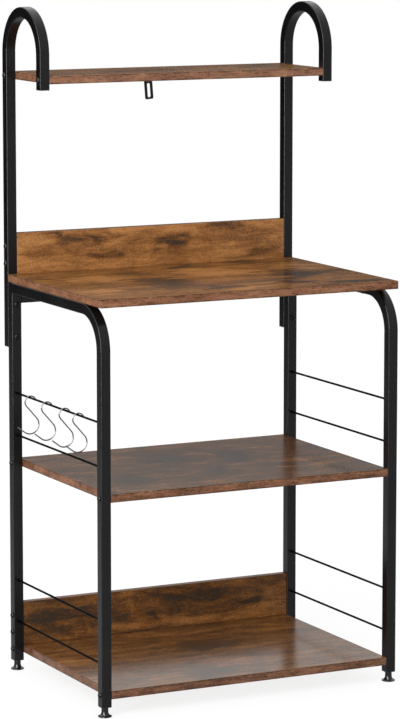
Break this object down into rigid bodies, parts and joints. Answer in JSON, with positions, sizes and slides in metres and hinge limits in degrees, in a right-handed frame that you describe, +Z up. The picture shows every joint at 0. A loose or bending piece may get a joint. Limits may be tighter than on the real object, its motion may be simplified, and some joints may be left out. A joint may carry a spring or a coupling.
{
  "type": "kitchen shelving unit",
  "caption": "Kitchen shelving unit of bent black square steel tube with rustic wooden boards, side guard wires, an arched top shelf, S-hooks, levelling feet and a wall strap.",
  "frame": {"origin": "on the floor below the middle of the overall width and depth", "axes": "+Z up; the front faces -Y; +X to the right as seen from the front"},
  "size_m": [0.6195, 0.4385, 1.2475],
  "materials": {
    "tube_steel": "satin black powder coat",
    "wire_steel": "satin black powder coat",
    "strap_steel": "satin black powder coat",
    "black_fasteners": "black coated steel",
    "zinc_steel": "zinc plated",
    "chrome": "polished chrome",
    "black_plastic": "moulded, semi-gloss",
    "wood": "rustic brown board, satin"
  },
  "bodies": {
    "root": {"worktop": "wood", "middle_shelf": "wood", "bottom_shelf": "wood", "top_shelf": "wood", "upper_back_board": "wood", "lower_back_board": "wood", "rear_crossbar": "tube_steel", "left_front_leg_and_rail": "tube_steel", "left_rear_leg": "tube_steel", "left_upper_post": "tube_steel", "left_middle_low_guard_wire": "wire_steel", "left_middle_high_guard_wire": "wire_steel", "left_bottom_low_guard_wire": "wire_steel", "left_bottom_high_guard_wire": "wire_steel", "left_front_leg_insert": "black_plastic", "left_rear_leg_insert": "black_plastic", "left_post_end_cap": "black_plastic", "left_arch_tip_cap": "black_plastic", "right_front_leg_and_rail": "tube_steel", "right_rear_leg": "tube_steel", "right_upper_post": "tube_steel", "right_middle_low_guard_wire": "wire_steel", "right_middle_high_guard_wire": "wire_steel", "right_bottom_low_guard_wire": "wire_steel", "right_bottom_high_guard_wire": "wire_steel", "right_front_leg_insert": "black_plastic", "right_rear_leg_insert": "black_plastic", "right_post_end_cap": "black_plastic", "right_arch_tip_cap": "black_plastic", "bottom_shelf_screws": "black_fasteners", "middle_shelf_screws": "black_fasteners", "top_shelf_screws": "black_fasteners", "lower_back_board_screws": "black_fasteners", "upper_back_board_screws": "black_fasteners", "post_bolts": "black_fasteners", "post_nuts": "zinc_steel", "worktop_screws": "zinc_steel", "wall_strap_screw": "zinc_steel"},
    "left_front_foot": {"left_front_foot_pad": "black_plastic", "left_front_foot_stud": "zinc_steel"},
    "left_rear_foot": {"left_rear_foot_pad": "black_plastic", "left_rear_foot_stud": "zinc_steel"},
    "right_front_foot": {"right_front_foot_pad": "black_plastic", "right_front_foot_stud": "zinc_steel"},
    "right_rear_foot": {"right_rear_foot_pad": "black_plastic", "right_rear_foot_stud": "zinc_steel"},
    "hook_1": {"s_hook_1": "chrome"},
    "hook_2": {"s_hook_2": "chrome"},
    "hook_3": {"s_hook_3": "chrome"},
    "hook_4": {"s_hook_4": "chrome"},
    "strap": {"wall_strap": "strap_steel"}
  },
  "joints": [
    {"name": "left_front_foot_height", "type": "slide", "parent": "root", "child": "left_front_foot", "axis": [0, 0, -1], "range_m": [0, 0.01]},
    {"name": "left_rear_foot_height", "type": "slide", "parent": "root", "child": "left_rear_foot", "axis": [0, 0, -1], "range_m": [0, 0.01]},
    {"name": "right_front_foot_height", "type": "slide", "parent": "root", "child": "right_front_foot", "axis": [0, 0, -1], "range_m": [0, 0.01]},
    {"name": "right_rear_foot_height", "type": "slide", "parent": "root", "child": "right_rear_foot", "axis": [0, 0, -1], "range_m": [0, 0.01]},
    {"name": "hook_1_swing", "type": "hinge", "parent": "root", "child": "hook_1", "pos_m": [-0.2905, -0.09765, 0.528], "axis": [0, 1, 0], "range_deg": [-60, 60]},
    {"name": "hook_2_swing", "type": "hinge", "parent": "root", "child": "hook_2", "pos_m": [-0.2905, -0.0382, 0.528], "axis": [0, 1, 0], "range_deg": [-60, 60]},
    {"name": "hook_3_swing", "type": "hinge", "parent": "root", "child": "hook_3", "pos_m": [-0.2905, 0.04052, 0.528], "axis": [0, 1, 0], "range_deg": [-60, 60]},
    {"name": "hook_4_swing", "type": "hinge", "parent": "root", "child": "hook_4", "pos_m": [-0.2905, 0.11555, 0.528], "axis": [0, 1, 0], "range_deg": [-60, 60]},
    {"name": "wall_strap_turn", "type": "hinge", "parent": "root", "child": "strap", "pos_m": [-0.002, 0.2145, 1.1185], "axis": [0, 1, 0], "continuous": true}
  ]
}
